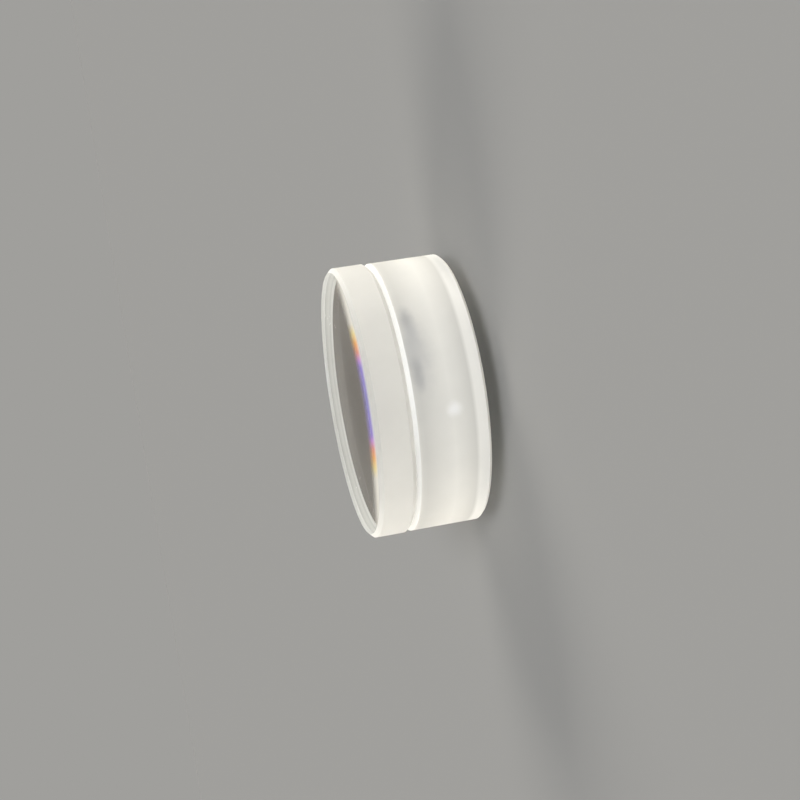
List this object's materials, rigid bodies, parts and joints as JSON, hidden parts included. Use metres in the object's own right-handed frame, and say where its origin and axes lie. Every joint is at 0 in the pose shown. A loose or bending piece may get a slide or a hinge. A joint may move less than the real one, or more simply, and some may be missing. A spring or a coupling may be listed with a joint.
{
  "type": "achromatic doublet lens",
  "caption": "Round cemented doublet lens: a thin-edged crown disc bonded to a thick-edged flint disc, with polished faces and a ground edge, for colour-corrected imaging.",
  "frame": {"origin": "vertex of the flint's convex rear face, which the lens rests on", "axes": "+Z along the optical axis, from the flint towards the crown"},
  "size_m": [0.0254, 0.0254, 0.012],
  "materials": {
    "crown_glass": "polished on the faces, fine ground on the edge and bevels",
    "flint_glass": "polished on the faces, fine ground on the edge and bevels",
    "optical_cement": "clear cured optical cement"
  },
  "bodies": {
    "root": {"crown_element": "crown_glass", "cement_layer": "optical_cement", "flint_element": "flint_glass"}
  },
  "joints": []
}
